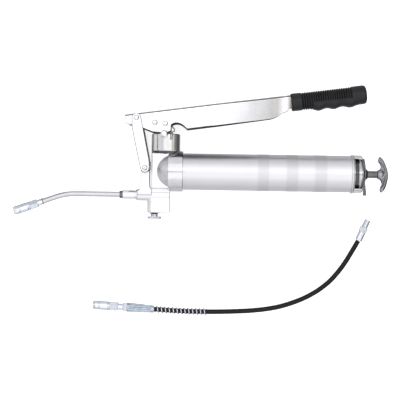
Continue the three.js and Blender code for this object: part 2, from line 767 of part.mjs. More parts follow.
// ---------- bleeder ----------
const bleederFrame = frameAt(BLEEDER.x, FOOT.bottom, 0, 0);
addPart("bleeder_washer", ring("y", 6.6, 4.3, -1.8, -GAP), SEAL, bleederFrame);
addPart(
  "bleeder_screw",
  cut(
    turned(
      "y",
      [
        [0, 10],
        [2.4, 10],
        [3.9, 7],
        [3.9, -1.6],
        [3.9, -2.1],
        [BLEEDER.stem, -2.1],
        [BLEEDER.stem, -5.8],
        [BLEEDER.knob - 0.6, -5.8],
        [BLEEDER.knob, -6.4],
        [BLEEDER.knob, -8.6],
        [BLEEDER.knob - 0.8, -9.3],
        [0, -9.3],
      ],
      20,
    ),
    box(-0.8, 0.8, -10, -8, -7, 7),
  ),
  ZINC,
  bleederFrame,
);

// ---------- spare flexible hose ----------
const hoseHead = frameAt(HOSE_HEAD.x, HOSE_HEAD.y, FITTING_Z, HOSE_HEAD.tilt);
const hoseCoupler = new THREE.Group();
hoseCoupler.position.x = -49.3;
hoseHead.add(hoseCoupler);
coupler("hose_coupler", hoseCoupler, 3.9);
addPart(
  "hose_ferrule",
  cut(
    join(
      turned("x", [[0, -43], [7.1, -43], [7.1, -34], [6.6, -22], [5.9, -8], [5.5, 0], [0, 0]]),
      hexBar(12.6, -49, -42.8),
      rod("x", 3.9, -55.6, -47),
    ),
    rod("x", 1.8, -60, 1, 10),
    rod("x", HOSE.radius + GAP, -36, 1),
  ),
  ZINC,
  hoseHead,
);

// The guard follows the first stretch of the hose, from just clear of the ferrule.
const guarded = HOSE_ROUTE.slice(1, 5);
const guardLine = [[-14.7, -218.1, FITTING_Z], ...guarded];
const throughLine = [[-16.9, -218, FITTING_Z], ...guarded, [73.2, -221.1, BENCH + HOSE.guard]];
addPart(
  "hose_spring_guard",
  cut(wire(guardLine, HOSE.guard, 10, 9), wire(throughLine, HOSE.radius + GAP, 8, 10)),
  ZINC,
);
addPart("hose", wire(HOSE_ROUTE, HOSE.radius, 8, 36), RUBBER);

const hoseTail = frameAt(HOSE_TAIL.x, HOSE_TAIL.y, FITTING_Z, HOSE_TAIL.tilt);
addPart(
  "hose_end_ferrule",
  cut(
    turned("x", [[0, 0.4], [5.1, 0.4], [5.3, 4], [5.3, 14.6], [0, 14.6]]),
    rod("x", 3.1, -1, 16, 12),
  ),
  ZINC,
  hoseTail,
);
addPart(
  "hose_end_fitting",
  cut(
    join(
      hexBar(12.4, 15, 22.6),
      turned("x", [[0, 22], [4.8, 22], [4.8, 34.8], [4, 35.9], [0, 35.9]]),
    ),
    rod("x", 1.8, 14, 37, 10),
  ),
  ZINC,
  hoseTail,
);

export default gun;
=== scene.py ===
"""Looks of a lever grease gun with its spare hose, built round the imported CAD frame."""

import math

import bmesh
import bpy
from mathutils import Matrix, Vector


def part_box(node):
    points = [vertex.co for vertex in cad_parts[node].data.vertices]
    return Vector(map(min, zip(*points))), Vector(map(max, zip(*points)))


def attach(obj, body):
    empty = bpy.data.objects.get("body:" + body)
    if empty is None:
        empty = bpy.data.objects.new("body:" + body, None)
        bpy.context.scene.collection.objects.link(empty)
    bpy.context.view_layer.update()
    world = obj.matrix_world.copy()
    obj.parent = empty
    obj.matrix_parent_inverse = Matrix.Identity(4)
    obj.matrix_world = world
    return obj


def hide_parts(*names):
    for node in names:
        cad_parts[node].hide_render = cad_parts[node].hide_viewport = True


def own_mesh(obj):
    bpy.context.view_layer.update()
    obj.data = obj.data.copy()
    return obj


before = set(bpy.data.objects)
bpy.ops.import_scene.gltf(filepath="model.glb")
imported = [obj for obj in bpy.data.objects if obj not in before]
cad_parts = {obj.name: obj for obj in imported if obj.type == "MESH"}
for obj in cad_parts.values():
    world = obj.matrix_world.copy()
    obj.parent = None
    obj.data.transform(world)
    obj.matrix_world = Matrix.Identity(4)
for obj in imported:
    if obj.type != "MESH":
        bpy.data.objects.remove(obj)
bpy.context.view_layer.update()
scene = bpy.context.scene

# ---------- places, from the frame ----------
# Shapes are written in the gun's own millimetres: X along the barrel from the pump column's axis,
# Y from the barrel's axis towards the lever, Z up from the barrel's axis.
MM = 0.001
COLLAR = (4.4, 27.5)  # the machined collar's ends
barrel_low, barrel_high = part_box("barrel")
ORIGIN = Vector(
    (
        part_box("pump_head")[1].x - COLLAR[1] * MM,
        (barrel_low.y + barrel_high.y) / 2,
        (barrel_low.z + barrel_high.z) / 2,
    )
)
BENCH = -ORIGIN.z / MM
TO_ROW = Matrix.Translation(ORIGIN) @ Matrix.Scale(MM, 4)

LINK_FOOT = (-31.2, 4.3)
LINK_HEAD = (-45.4, 81.6)
PLUNGER_PIN = (-1.9, 57.2)
RIVETS = ((-16.9, 74.4), (-0.9, 73.1))
LEVER_HALF = 25.0
LINK_FACES = (25.3, 28.0)
OUTLET_Y = -37.2
BLEEDER = (-16.4, -65.2)
PIPE_TILT = 19.7
PIPE_BEND_X = -155.5
COUPLER_X = -191.5
CAP = (292.9, 308.0)
GRIP = (195, 110.6, 7.2)
FITTING_Z = BENCH + 8
HOSE_RADIUS = 3.8
VIEW_CENTRE = (54.8, -44.1)
DOME_CENTRE = 12.8
DOME_RADIUS = 31.2
PLUNGER_BORE = 5.05
BARREL_RADIUS = 28.5
LUG_RADIUS = 29.7
HANDLE_TURN = -24


def at(x=0.0, y=0.0, z=0.0, tilt=0.0):
    """A frame in the gun's millimetres, turned about Z, as a matrix into the row frame."""
    return TO_ROW @ Matrix.Translation((x, y, z)) @ Matrix.Rotation(math.radians(tilt), 4, "Z")


# ---------- camera ----------
def make_camera():
    """Straight above, as a product is photographed, a degree round from the barrel's line."""
    distance, width, roll, sensor = 1.9, 0.626, 0.92, 36.0
    data = bpy.data.cameras.new("camera")
    data.sensor_width = sensor
    data.lens = sensor * distance / width
    camera = bpy.data.objects.new("camera", data)
    camera.location = ORIGIN + Vector((*VIEW_CENTRE, 0)) * MM + Vector((0, 0, distance))
    camera.rotation_euler = (0, 0, math.radians(roll))
    scene.collection.objects.link(camera)
    scene.camera = camera


make_camera()


# ---------- mesh helpers ----------
CORNER_STEPS = 4  # edges in a rounded corner
SPRING_STEPS = 30  # points in a spring's turn


def smooth_path(points, steps):
    """Catmull-Rom samples through the points, with so many steps between two of them."""
    line = [Vector(p) for p in points]
    line = [2 * line[0] - line[1], *line, 2 * line[-1] - line[-2]]
    made = []
    for i in range(1, len(line) - 2):
        a, b, c, d = line[i - 1 : i + 3]
        for k in range(steps):
            t = k / steps
            curve = 2 * b + (c - a) * t
            curve += (2 * a - 5 * b + 4 * c - d) * t**2 + (3 * b - a - 3 * c + d) * t**3
            made.append(0.5 * curve)
    return [*made, line[-2]]


def steps_between(start, end, count):
    return [start + (end - start) * k / count for k in range(count + 1)]


def ease(t):
    t = min(1, max(0, t))
    return t * t * (3 - 2 * t)


def level(x, stops):
    """The value at x on straight lines between the stops, which are (x, value)."""
    for (x0, v0), (x1, v1) in zip(stops, stops[1:]):
        if x <= x1:
            return v0 + (v1 - v0) * max(0, x - x0) / (x1 - x0)
    return stops[-1][1]


def arc(x, y, r, start, end, steps=20):
    """Points of an arc in degrees, for outlines."""
    angles = [math.radians(a) for a in steps_between(start, end, steps)]
    return [(x + r * math.cos(a), y + r * math.sin(a)) for a in angles]


def bend(start, control, end, steps=10):
    """Points of a quadratic curve without its first, for outlines."""
    a, b, c = Vector(start), Vector(control), Vector(end)
    shares = [k / steps for k in range(1, steps + 1)]
    return [tuple(a * (1 - t) ** 2 + b * 2 * t * (1 - t) + c * t**2) for t in shares]


def fillet(points, radius, closed=True):
    """A profile or outline with its sharp corners rounded."""
    if not radius:
        return list(points)
    made = []
    for i, p in enumerate(points):
        here = Vector(p)
        back = Vector(points[i - 1]) - here
        on = Vector(points[(i + 1) % len(points)]) - here
        at_end = not closed and i in (0, len(points) - 1)
        if at_end or min(back.length, on.length) < 1e-6 or back.angle(-on) < 0.35:
            made.append(tuple(p))
            continue
        reach = min(radius, 0.45 * back.length, 0.45 * on.length)
        start, end = here + back.normalized() * reach, here + on.normalized() * reach
        made += [tuple(start), *bend(start, here, end, CORNER_STEPS)]
    return made


def join_rings(bm, rings, closed):
    """Faces between rings of vertices; a ring of one vertex is a pole."""
    pairs = list(zip(rings, rings[1:]))
    if closed:
        pairs.append((rings[-1], rings[0]))
    sides = max(len(r) for r in rings)
    for a, b in pairs:
        for k in range(sides):
            around = (a[k % len(a)], a[(k + 1) % len(a)], b[(k + 1) % len(b)], b[k % len(b)])
            corners = list(dict.fromkeys(around))
            if len(corners) > 2:
                bm.faces.new(corners)
    bmesh.ops.recalc_face_normals(bm, faces=bm.faces)
    return bm


def lathe(profile, axis="x", sides=96, edge=0.25, centre=(0, 0, 0), press=None):
    """A turned body. The profile lists (radius, place along the axis), closed or from axis to axis.
    press(angle, along) adds to the radius."""
    closed = profile[0][0] > 0
    bm = bmesh.new()
    rings = []
    for r, h in fillet(profile, edge, closed):
        ring_points = []
        for k in range(sides if r > 1e-6 else 1):
            a = 2 * math.pi * k / sides
            grown = r + (press(a, h) if press and r > 1e-6 else 0)
            u, v = grown * math.cos(a), grown * math.sin(a)
            place = {"x": (h, u, v), "y": (v, h, u), "z": (u, v, h)}[axis]
            ring_points.append(bm.verts.new(Vector(place) + Vector(centre)))
        rings.append(ring_points)
    return join_rings(bm, rings, closed)


def rod(r, start, end, axis="x", sides=96, edge=0.25, centre=(0, 0, 0)):
    return lathe([(0, start), (r, start), (r, end), (0, end)], axis, sides, edge, centre)


def ring(outer, inner, start, end, axis="x", sides=96, edge=0.25):
    profile = [(inner, start), (outer, start), (outer, end), (inner, end)]
    return lathe(profile, axis, sides, edge)


def round_edges(bm, edge):
    sharp = [e for e in bm.edges if e.calc_face_angle(0) > math.radians(28)]
    bmesh.ops.bevel(
        bm, geom=sharp, offset=edge, segments=3, profile=0.5, affect="EDGES",
        clamp_overlap=True,
    )
    return bm


def prism(outline, low, high, edge=0.4):
    """An outline in XY made solid from low to high, with rounded edges."""
    bm = bmesh.new()
    bottom, top = [[bm.verts.new((x, y, z)) for x, y in outline] for z in (low, high)]
    bm.faces.new(bottom[::-1])
    bm.faces.new(top)
    for i in range(len(outline)):
        bm.faces.new((bottom[i - 1], bottom[i], top[i], top[i - 1]))
    bmesh.ops.recalc_face_normals(bm, faces=bm.faces)
    return round_edges(bm, edge) if edge else bm


def block(x0, x1, y0, y1, z0, z1, edge=0.0):
    return prism([(x0, y0), (x1, y0), (x1, y1), (x0, y1)], z0, z1, edge)


def hull(points, edge):
    """The convex solid round the points, with rounded edges."""
    bm = bmesh.new()
    for p in points:
        bm.verts.new(p)
    bmesh.ops.convex_hull(bm, input=bm.verts)
    bmesh.ops.dissolve_limit(bm, angle_limit=0.02, verts=bm.verts, edges=bm.edges)
    return round_edges(bm, edge)


def tube(points, radius, sides=16):
    """A round bar along the points, closed at both ends."""
    bm = bmesh.new()
    line = [Vector(p) for p in points]
    side = (line[1] - line[0]).orthogonal()
    rings = [[bm.verts.new(line[0])]]
    for i, p in enumerate(line):
        ahead = (line[min(i + 1, len(line) - 1)] - line[max(i - 1, 0)]).normalized()
        side = (side - ahead * side.dot(ahead)).normalized()
        other = ahead.cross(side)
        turns = [2 * math.pi * k / sides for k in range(sides)]
        rings.append(
            [bm.verts.new(p + radius * (side * math.cos(a) + other * math.sin(a))) for a in turns]
        )
    rings.append([bm.verts.new(line[-1])])
    return join_rings(bm, rings, False)


def spring(radius, wire, turns, start, end, end_radius=None, rest=0.8):
    """A spring along X whose end turns lie flat for a part of a turn."""
    last = end_radius or radius
    points = []
    for n in steps_between(0, turns, round(turns * SPRING_STEPS)):
        share = min(1, max(0, (n - rest) / (turns - 2 * rest)))
        x = start + wire + (end - start - 2 * wire) * share
        a, r = 2 * math.pi * n, radius + (last - radius) * n / turns
        points.append((x, r * math.cos(a), r * math.sin(a)))
    return tube(points, wire, 12)


def together(*parts):
    """Several bodies in one mesh."""
    whole = bmesh.new()
    for part in parts:
        held = bpy.data.meshes.new("part")
        part.to_mesh(held)
        whole.from_mesh(held)
        part.free()
        bpy.data.meshes.remove(held)
    return whole


def as_object(name, bm):
    mesh = bpy.data.meshes.new(name)
    bm.to_mesh(mesh)
    bm.free()
    made = bpy.data.objects.new(name, mesh)
    scene.collection.objects.link(made)
    return made


def with_modifiers(obj, *modifiers):
    """The object's mesh after the modifiers; the object itself is removed."""
    for kind, settings in modifiers:
        added = obj.modifiers.new(kind, kind)
        for key, value in settings.items():
            setattr(added, key, value)
    shaped = obj.evaluated_get(bpy.context.evaluated_depsgraph_get())
    mesh = bpy.data.meshes.new_from_object(shaped)
    bm = bmesh.new()
    bm.from_mesh(mesh)
    bpy.data.meshes.remove(mesh)
    bpy.data.objects.remove(obj)
    return bm


def melt(parts, voxel, rounds):
    """Bodies melted into one casting with soft fillets."""
    remesh = ("REMESH", {"mode": "VOXEL", "voxel_size": voxel})
    soften = ("SMOOTH", {"factor": 0.5, "iterations": rounds})
    return with_modifiers(as_object("casting", together(*parts)), remesh, soften)


def combine(bm, tool, operation):
    other = as_object("tool", tool)
    settings = {"operation": operation, "object": other, "solver": "EXACT"}
    made = with_modifiers(as_object("work", bm), ("BOOLEAN", settings))
    bpy.data.objects.remove(other)
    return made


def carve(bm, *tools):
    for tool in tools:
        bm = combine(bm, tool, "DIFFERENCE")
    return bm


def piece(name, bm, material, body, *replaces, place=None, sharp=32, rim=None):
    """A finished piece: placed in the row frame, shaded, and riding on its body. The rim is painted
    shade on a stamped plate's cut edges, below and either side of its flat faces."""
    bm.transform(place or at())
    made = as_object(name, bm)
    made.data.materials.append(material)
    if rim:
        made.data.materials.append(rim)
        for face in made.data.polygons:
            face.material_index = int(abs(face.normal.z) < 0.97 and face.normal.y < 0.6)
    made.data.shade_smooth()
    made.data.set_sharp_from_angle(angle=math.radians(sharp))
    made.modifiers.new("weighted", "WEIGHTED_NORMAL").keep_sharp = True
    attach(made, body)
    if replaces:
        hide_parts(*replaces)
    return made


# ---------- materials ----------
def link(tree, start, end):
    tree.links.new(start, end)


def noise(tree, scale, detail, stretch=(1, 1, 1), distortion=0.0):
    """Noise in the piece's own metres, stretched along the row axes."""
    where = tree.nodes.new("ShaderNodeTexCoord")
    mapping = tree.nodes.new("ShaderNodeMapping")
    mapping.inputs["Scale"].default_value = stretch
    made = tree.nodes.new("ShaderNodeTexNoise")
    made.inputs["Scale"].default_value = scale
    made.inputs["Detail"].default_value = detail
    made.inputs["Distortion"].default_value = distortion
    link(tree, where.outputs["Object"], mapping.inputs["Vector"])
    link(tree, mapping.outputs["Vector"], made.inputs["Vector"])
    return made.outputs["Fac"]


def ramp(tree, factor, stops):
    made = tree.nodes.new("ShaderNodeValToRGB")
    band = made.color_ramp
    while len(band.elements) < len(stops):
        band.elements.new(0.5)
    for element, (position, colour) in zip(band.elements, stops):
        element.position = position
        element.color = (*colour, 1)
    link(tree, factor, made.inputs["Fac"])
    return made.outputs["Color"]


def span(tree, factor, start, end, low, high):
    """The factor's stretch from start to end, spread over low to high."""
    made = tree.nodes.new("ShaderNodeMapRange")
    names = ("From Min", "From Max", "To Min", "To Max")
    for name, value in zip(names, (start, end, low, high)):
        made.inputs[name].default_value = value
    link(tree, factor, made.inputs["Value"])
    return made.outputs["Result"]


def mix(tree, a, b, share, mode="MIX"):
    """Two colours mixed. The share is a number or a socket."""
    made = tree.nodes.new("ShaderNodeMix")
    made.data_type = "RGBA"
    made.blend_type = mode
    if isinstance(share, (int, float)):
        made.inputs["Factor"].default_value = share
    else:
        link(tree, share, made.inputs["Factor"])
    link(tree, a, made.inputs[6])
    link(tree, b, made.inputs[7])
    return made.outputs[2]


def surface(name, dark, light, rough, metallic=1.0, patch=60, grain=900,
            stretch=(1, 1, 1), relief=0.01, specular=0.5):
    """A finish whose colour and gloss wander in soft patches, with a fine grain that lifts it."""
    made = bpy.data.materials.new(name)
    made.use_nodes = True
    tree = made.node_tree
    shader = tree.nodes["Principled BSDF"]
    shader.inputs["Metallic"].default_value = metallic
    shader.inputs["Specular IOR Level"].default_value = specular
    broad = noise(tree, patch, 5, distortion=0.6)
    fine = noise(tree, grain, 3, stretch)
    both = mix(tree, broad, fine, 0.35)
    link(tree, ramp(tree, both, [(0.32, dark), (0.68, light)]), shader.inputs["Base Color"])
    link(tree, span(tree, both, 0.3, 0.7, *rough), shader.inputs["Roughness"])
    bump = tree.nodes.new("ShaderNodeBump")
    bump.inputs["Distance"].default_value = relief * MM
    link(tree, fine, bump.inputs["Height"])
    link(tree, bump.outputs["Normal"], shader.inputs["Normal"])
    return made


cast_metal = surface("cast_metal", (0.78, 0.775, 0.785), (0.88, 0.875, 0.885), (0.34, 0.44),
                     patch=90, grain=1500, relief=0.03)
dome_metal = surface("dome_metal", (0.50, 0.495, 0.51), (0.66, 0.655, 0.67), (0.30, 0.42),
                     patch=260, grain=1100, relief=0.08)
# Painted shadow: near black for the column's root and ledge, where shadow falls under the column.
root_painted_shadow = surface("root_painted_shadow", (0.10, 0.10, 0.105), (0.20, 0.20, 0.205), (0.3, 0.5),
                     patch=300, grain=1500, relief=0.05)
machined = surface("machined", (0.64, 0.635, 0.64), (0.76, 0.755, 0.76), (0.12, 0.20),
                   patch=50, grain=900, stretch=(4, 0.15, 0.15), relief=0.006)
column_metal = surface("column_metal", (0.64, 0.64, 0.64), (0.77, 0.77, 0.77),
                       (0.10, 0.18), patch=50, grain=900, stretch=(0.15, 4, 0.15), relief=0.004)
chrome = surface("chrome", (0.80, 0.80, 0.81), (0.90, 0.90, 0.90), (0.05, 0.12),
                 patch=35, grain=700, stretch=(0.3, 1, 1), relief=0.001)
# Lever chrome; its colour carries the painted reflection and shade set along the lever below.
lever_chrome_painted_reflection = surface("lever_chrome_painted_reflection", (0.80, 0.80, 0.80), (0.90, 0.90, 0.90),
                       (0.06, 0.14), patch=35, grain=700, stretch=(0.3, 1, 1), relief=0.001)
# Painted shade: near black on the lever's and link's cut edges and undersides, drawing their
# outlines.
cut_edge_painted_shade = surface("cut_edge_painted_shade", (0.09, 0.09, 0.094), (0.16, 0.16, 0.165), (0.25, 0.4),
                   patch=120, grain=1500, relief=0.004)
cap_chrome = surface("cap_chrome", (0.50, 0.52, 0.53), (0.66, 0.68, 0.68), (0.06, 0.14),
                     patch=120, grain=900, relief=0.001)
satin_chrome = surface("satin_chrome", (0.55, 0.55, 0.56), (0.63, 0.63, 0.64),
                       (0.14, 0.24), patch=120, grain=900, relief=0.002)
# Dark chrome for the pull rod; on the end cap's waist the same near black is painted shade in its
# grooves.
dark_chrome_and_groove_shade = surface("dark_chrome_and_groove_shade", (0.11, 0.11, 0.105), (0.2, 0.2, 0.19),
                      (0.08, 0.16), patch=120, grain=900, relief=0.002)
handle_metal = surface("handle_metal", (0.24, 0.24, 0.26), (0.38, 0.375, 0.40),
                       (0.10, 0.20), patch=80, grain=900, relief=0.002)
zinc = surface("zinc", (0.68, 0.72, 0.77), (0.80, 0.84, 0.88), (0.08, 0.20),
               patch=160, grain=1200, relief=0.003)
crimped_zinc = surface("crimped_zinc", (0.32, 0.38, 0.43), (0.56, 0.62, 0.67), (0.1, 0.2),
                       patch=160, grain=1200, stretch=(0.3, 1, 1), relief=0.004)
strip_zinc = surface("strip_zinc", (0.11, 0.115, 0.125), (0.22, 0.225, 0.24), (0.14, 0.28),
                     patch=160, grain=1200, relief=0.004)
steel = surface("steel", (0.15, 0.15, 0.155), (0.27, 0.27, 0.275), (0.2, 0.36),
                patch=120, grain=1400, relief=0.006)
seal_rubber = surface("seal_rubber", (0.030, 0.022, 0.018), (0.055, 0.042, 0.036),
                      (0.45, 0.65), metallic=0.0, grain=1600, relief=0.02)
grip_rubber = surface("grip_rubber", (0.004, 0.004, 0.005), (0.011, 0.011, 0.013),
                      (0.26, 0.42), metallic=0.0, patch=45, grain=2200, relief=0.02, specular=0.35)
hose_rubber = surface("hose_rubber", (0.003, 0.003, 0.004), (0.008, 0.008, 0.010),
                      (0.08, 0.16), metallic=0.0, patch=70, grain=1500, relief=0.004, specular=0.22)


def tone_along(made, low, high, stops):
    """Multiplies a finish by tones along the barrel's line. Stops are (millimetres, colour)."""
    tree = made.node_tree
    colour = tree.nodes["Principled BSDF"].inputs["Base Color"]
    where = tree.nodes.new("ShaderNodeTexCoord")
    split = tree.nodes.new("ShaderNodeSeparateXYZ")
    link(tree, where.outputs["Object"], split.inputs["Vector"])
    along = span(tree, split.outputs["X"], ORIGIN.x + low * MM, ORIGIN.x + high * MM, 0, 1)
    tone = ramp(tree, along, [((x - low) / (high - low), shade) for x, shade in stops])
    link(tree, mix(tree, colour.links[0].from_socket, tone, 1.0, "MULTIPLY"), colour)
    return tone


# Painted reflection and shade: the lever's colour darkens and warms towards the grip, standing in
# for the darker surroundings its sides mirror there, with a painted highlight near X 185 and
# painted shade at the fold by the grip.
tone_along(lever_chrome_painted_reflection, 60, 200, [
    (85, (1, 1, 1)), (116, (0.80, 0.80, 0.80)), (139, (0.67, 0.67, 0.665)),
    (155, (0.57, 0.575, 0.555)), (164, (0.51, 0.51, 0.485)), (173, (0.54, 0.53, 0.50)),
    (181, (0.80, 0.79, 0.78)), (185, (1, 1, 1)), (189, (0.75, 0.73, 0.70)),
    (194, (0.25, 0.23, 0.21)),
])

BANDS = ((143.7, 161), (188, 206), (232, 250.8))  # duller bands round the barrel
BAND_TONE = 0.91
BAND_ROUGHNESS = 1.2


def barrel_finish():
    """Satin plating, duller and greyer over the three bands."""
    made = surface("barrel_satin", (0.72, 0.717, 0.722), (0.78, 0.777, 0.782),
                   (0.36, 0.44), patch=20, grain=1400, stretch=(0.2, 1, 1), relief=0.001)
    clean, dull, soft = (1, 1, 1), (BAND_TONE, BAND_TONE, BAND_TONE), 1.6
    stops = []
    for start, end in BANDS:
        stops += [(start - soft, clean), (start + soft, dull)]
        stops += [(end - soft, dull), (end + soft, clean)]
    tone = tone_along(made, 130, 265, stops)
    tree = made.node_tree
    rough = tree.nodes["Principled BSDF"].inputs["Roughness"]
    duller = tree.nodes.new("ShaderNodeMath")
    duller.operation = "MULTIPLY"
    link(tree, rough.links[0].from_socket, duller.inputs[0])
    link(tree, span(tree, tone, BAND_TONE, 1, BAND_ROUGHNESS, 1), duller.inputs[1])
    link(tree, duller.outputs["Value"], rough)
    return made


barrel_satin = barrel_finish()

# ---------- spare hose ----------
# The same route as the CAD model's hose, in metres from the gun's origin.
HOSE_ROUTE = [
    (-0.0150, -0.2181, -0.0235), (0.0024, -0.2192, -0.0235), (0.0216, -0.2202, -0.0240),
    (0.0459, -0.2209, -0.0247), (0.0702, -0.2211, -0.0257), (0.0904, -0.2208, -0.0269),
    (0.1107, -0.2200, -0.0275), (0.1350, -0.2186, -0.0275), (0.1593, -0.2159, -0.0275),
    (0.1816, -0.2117, -0.0275), (0.2028, -0.2052, -0.0275), (0.2241, -0.1963, -0.0275),
    (0.2443, -0.1845, -0.0275), (0.2616, -0.1706, -0.0275), (0.2757, -0.1548, -0.0273),
    (0.2873, -0.1382, -0.0263), (0.2970, -0.1214, -0.0247), (0.3064, -0.1046, -0.0235),
]
HOSE_HEAD = at(-15.3, -218.1, FITTING_Z, -3.2)
HOSE_TAIL = at(306.5, -104.4, FITTING_Z, 66)
HOSE_FERRULE = 49.3  # from the hose's head to its coupler
ROUTE_STEPS = 10
hose_line = smooth_path([ORIGIN + Vector(p) for p in HOSE_ROUTE], ROUTE_STEPS)


def make_hose():
    """One curve of the hose's real length, with the rubber's round section."""
    data = bpy.data.curves.new("hose_tube", "CURVE")
    data.dimensions = "3D"
    data.bevel_depth = HOSE_RADIUS * MM
    data.bevel_resolution = 8
    data.use_fill_caps = True
    spline = data.splines.new("POLY")
    spline.points.add(len(hose_line) - 1)
    for point, place in zip(spline.points, hose_line):
        point.co = (*place, 1)
    spline.use_smooth = True
    made = bpy.data.objects.new("hose_tube", data)
    scene.collection.objects.link(made)
    data.materials.append(hose_rubber)
    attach(made, "hose")
    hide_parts("hose")
    return made


def threads(radius, depth, start, end, pitch):
    """A profile's run of thread crests and roots."""
    made = []
    for k in range(int((end - start) / pitch)):
        x = start + k * pitch
        low, high = radius - depth, radius
        made += [(low, x), (high, x + 0.4 * pitch), (high, x + 0.55 * pitch)]
        made.append((low, x + 0.95 * pitch))
    return made


def crimp(depth, flutes, start, end):
    """Flutes pressed into a ferrule between two places along it."""
    def press(angle, along):
        fade = ease((along - start) / 3) * ease((end - along) / 3)
        return -depth * fade * (0.5 + 0.5 * math.cos(flutes * angle)) ** 2
    return press


END_TURN = Matrix(((0, 0, 1, 0), (1, 0, 0, 0), (0, 1, 0, 0), (0, 0, 0, 1)))  # Z onto X


def hexagon(across, start, end):
    """A hexagonal bar along X, with a corner up and the corners turned off at both ends."""
    corner = across / math.sqrt(3)
    angles = [math.radians(60 * k) for k in range(6)]
    bar = prism([(corner * math.sin(a), corner * math.cos(a)) for a in angles], start, end, 0)
    bar.transform(END_TURN)
    r = across / 2 + 0.1
    lead = 0.9
    turned = [(0, start), (r, start), (corner, start + lead), (corner, end - lead), (r, end),
              (0, end)]
    return combine(bar, lathe(turned, edge=0), "INTERSECT")


def make_coupler(prefix, body, place, plug):
    """A grease coupler: hexagonal body, sliding sleeve, slit jaws."""
    hole = plug + 0.3
    neck = lathe([(2, -31), (5.4, -31), (5.4, -8), (4.9, -7.6), (4.9, 0), (hole, 0), (hole, -7),
                  (2, -7)])
    nut = carve(
        hexagon(13.2, -20.7, -8.4),
        rod(5.3, -22, -7, edge=0),
        rod(1.3, -2, 12, "z", 32, 0, (-15.3, -1, 0)),
    )
    nut_piece = piece(prefix + "_nut", together(nut, neck), zinc, body, prefix + "_body",
                      place=place)
    lip = piece(prefix + "_lip", ring(plug + 1.1, plug + 0.1, -0.3, 1.0, sides=64, edge=0.3), steel,
                body, place=place)
    outside = [
        (5.7, -21), (6.9, -21), (6.9, -22.2), (6.2, -22.8), (6.2, -23.8), (6.9, -24.4),
        (6.9, -36.5), (6.3, -37), (6.3, -38), (6.9, -38.5), (6.9, -44), (5.9, -47.6),
        (4.1, -47.6), (4.1, -46), (5.7, -43.5),
    ]
    sleeve = piece(prefix + "_shell", lathe(outside, edge=0.3), zinc, body, prefix + "_sleeve",
                   place=place)
    collet = lathe([(3.6, -44.6), (4.2, -44.6), (5.2, -42.6), (5.2, -31.4), (3.6, -31.4)], sides=64)
    slits = [block(-47, -36, -7, 7, -0.5, 0.5), block(-47, -36, -0.5, 0.5, -7, 7)]
    jaws = piece(prefix + "_collet", carve(collet, *slits), steel, body, prefix + "_jaws",
                 place=place)
    return [nut_piece, lip, sleeve, jaws]


def make_guard():
    """The wire coiled over the hose's first stretch."""
    centre, wire, turns = 4.7, 0.9, 13.5
    line = hose_line[: 4 * ROUTE_STEPS + 1]
    reach = [0.0]
    for a, b in zip(line, line[1:]):
        reach.append(reach[-1] + (b - a).length)
    places = list(zip(reach, range(len(line))))
    points = []
    for n in steps_between(0, turns, round(turns * 26)):
        share = level(0.0012 + (reach[-1] - 0.0022) * n / turns, places)
        k = min(int(share), len(line) - 2)
        ahead = (line[k + 1] - line[k]).normalized()
        side = ahead.cross(Vector((0, 0, 1))).normalized()
        a = 2 * math.pi * n
        out = side * math.cos(a) + ahead.cross(side) * math.sin(a)
        points.append((line[k].lerp(line[k + 1], share - k) - ORIGIN) / MM + centre * out)
    return piece("guard_coil", tube(points, wire, 12), zinc, "hose", "hose_spring_guard")


def make_hose_set():
    skirt = [(7.1 - 1.6 * ((x + 34) / 34) ** 1.2, x) for x in steps_between(-33, 0, 30)]
    body = [(7.1, x) for x in steps_between(-42.6, -34, 8)]
    ferrule = lathe([(4.15, -36), (1.8, -36), (1.8, -42.6), *body, *skirt, (4.15, 0)], edge=0.15,
                    press=lambda a, x: crimp(1.1, 10, -41, -4)(a, x) if x < -0.1 else 0)
    nose = ring(3.9, 1.8, -55.6, -47)
    nut = carve(hexagon(12.6, -49, -42.8), rod(1.8, -50, -41, edge=0))
    head = piece("hose_crimp", ferrule, crimped_zinc, "hose", "hose_ferrule", place=HOSE_HEAD)
    plug = piece("hose_plug", together(nose, nut), zinc, "hose", place=HOSE_HEAD)
    tail_skirt = [(4.15, 0.4), (5.1, 0.4), (5.3, 2), (5.3, 14.6), (4.15, 14.6)]
    tail_ferrule = lathe(tail_skirt, press=lambda a, x: crimp(0.35, 8, 1, 13)(a, x))
    tail = piece("hose_end_crimp", tail_ferrule, zinc, "hose", "hose_end_ferrule", place=HOSE_TAIL)
    screw = [(1.7, 21), (4.2, 21), *threads(4.8, 0.5, 22.6, 34.6, 1.0), (4.2, 34.8), (3.9, 35.9),
             (1.7, 35.9)]
    end_nut = carve(hexagon(12.4, 15, 22.6), rod(1.7, 14, 24, edge=0))
    nipple = ring(2.9, 1.7, 4, 15.4)
    fitting = piece("hose_end_union", together(end_nut, lathe(screw, edge=0.1), nipple), zinc,
                    "hose", "hose_end_fitting", place=HOSE_TAIL)
    coupler_place = HOSE_HEAD @ Matrix.Translation((-HOSE_FERRULE, 0, 0))
    coupler = make_coupler("hose_coupler", "hose", coupler_place, 3.9)
    make_hose()
    make_guard()


make_hose_set()


